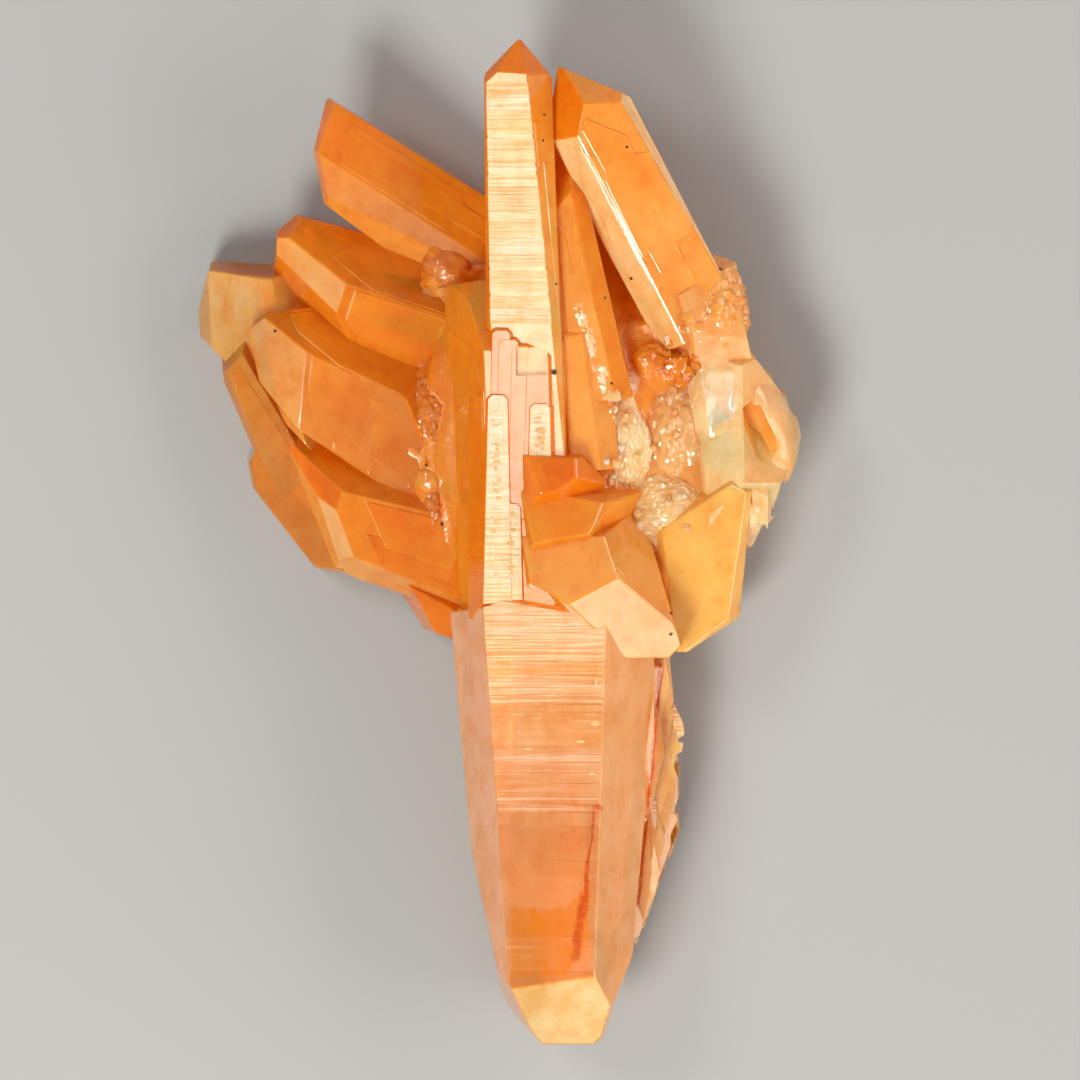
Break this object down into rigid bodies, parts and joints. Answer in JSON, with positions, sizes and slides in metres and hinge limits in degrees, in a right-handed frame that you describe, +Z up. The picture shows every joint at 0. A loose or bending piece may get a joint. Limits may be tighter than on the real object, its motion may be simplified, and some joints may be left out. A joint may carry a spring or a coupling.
{
  "type": "tangerine quartz cluster",
  "caption": "Tangerine quartz cluster: a long main crystal with a fan of shorter orange points on one side and a leaning prism, stubs and a pale drusy clump on the other, lying on its back.",
  "frame": {"origin": "middle of the footprint, on the surface that the cluster lies on", "axes": "+Y along the main crystal towards its pointed end, +X towards the side with the leaning prism and the pale clump, +Z up, out of the main crystal's front face"},
  "size_m": [0.0963, 0.16, 0.0341],
  "materials": {
    "tangerine_quartz": "satin"
  },
  "bodies": {
    "root": {"quartz_cluster": "tangerine_quartz"}
  },
  "joints": []
}
